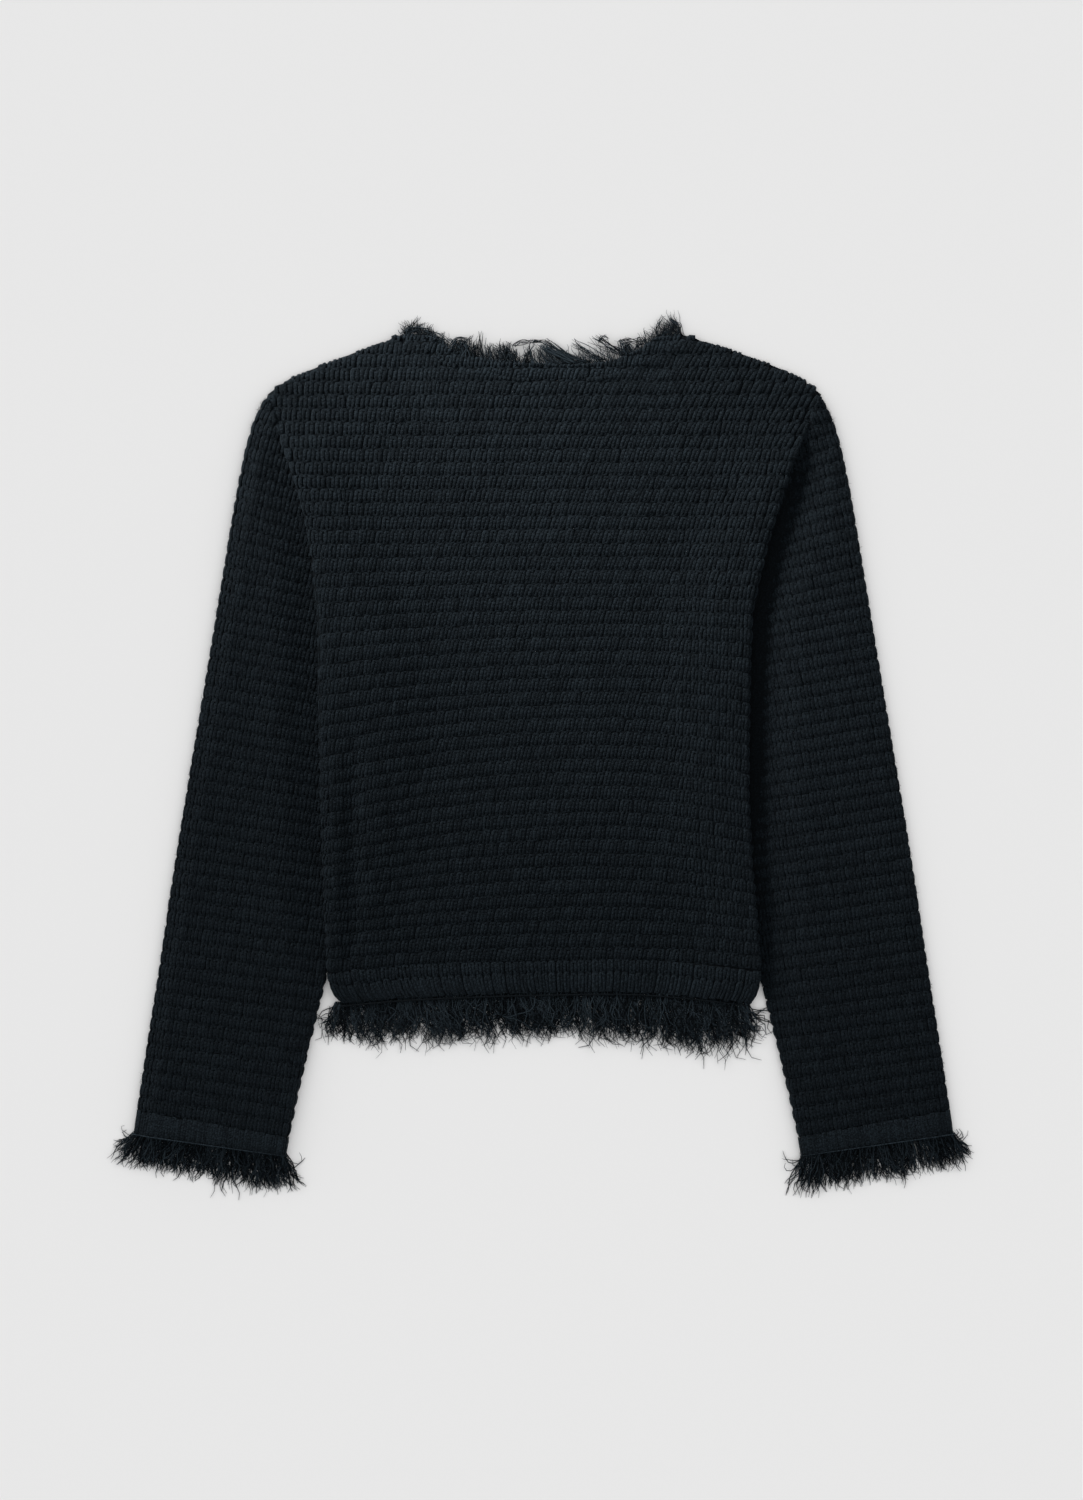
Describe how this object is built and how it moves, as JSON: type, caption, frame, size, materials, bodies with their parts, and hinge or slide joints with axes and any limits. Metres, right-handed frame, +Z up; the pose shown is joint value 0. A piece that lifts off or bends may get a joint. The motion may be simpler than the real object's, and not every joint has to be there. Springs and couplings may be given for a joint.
{
  "type": "fringed cardigan laid flat",
  "caption": "Fringed chunky-knit cardigan lying flat with its back up, sleeves laid down along the sides, and a yarn fringe at the neck, hem and cuffs.",
  "frame": {"origin": "middle of the part's box in plan, on the surface the garment lies on", "axes": "+X across the garment towards the wearer's right sleeve, +Y from the hem to the neck, +Z up, out of the back"},
  "size_m": [0.6824, 0.7002, 0.014],
  "materials": {
    "knit": "near-black navy chunky knit in puffed rows, matt with a faint sheen",
    "rib_band": "the same yarn knitted as one tall ribbed row, matt",
    "yarn_fringe": "loose twisted yarn strands, near-black navy"
  },
  "bodies": {
    "root": {"back": "knit", "front_left": "knit", "front_right": "knit", "sleeve_left": "knit", "sleeve_right": "knit", "hem_band_back": "rib_band", "hem_band_front_left": "rib_band", "hem_band_front_right": "rib_band", "cuff_band_left": "rib_band", "cuff_band_right": "rib_band", "neck_band_back": "rib_band", "neck_band_front_left": "rib_band", "neck_band_front_right": "rib_band", "hem_fringe_back": "yarn_fringe", "hem_fringe_front_left": "yarn_fringe", "hem_fringe_front_right": "yarn_fringe", "cuff_fringe_left": "yarn_fringe", "cuff_fringe_right": "yarn_fringe", "neck_fringe_back": "yarn_fringe", "neck_fringe_front_left": "yarn_fringe", "neck_fringe_front_right": "yarn_fringe"}
  },
  "joints": []
}
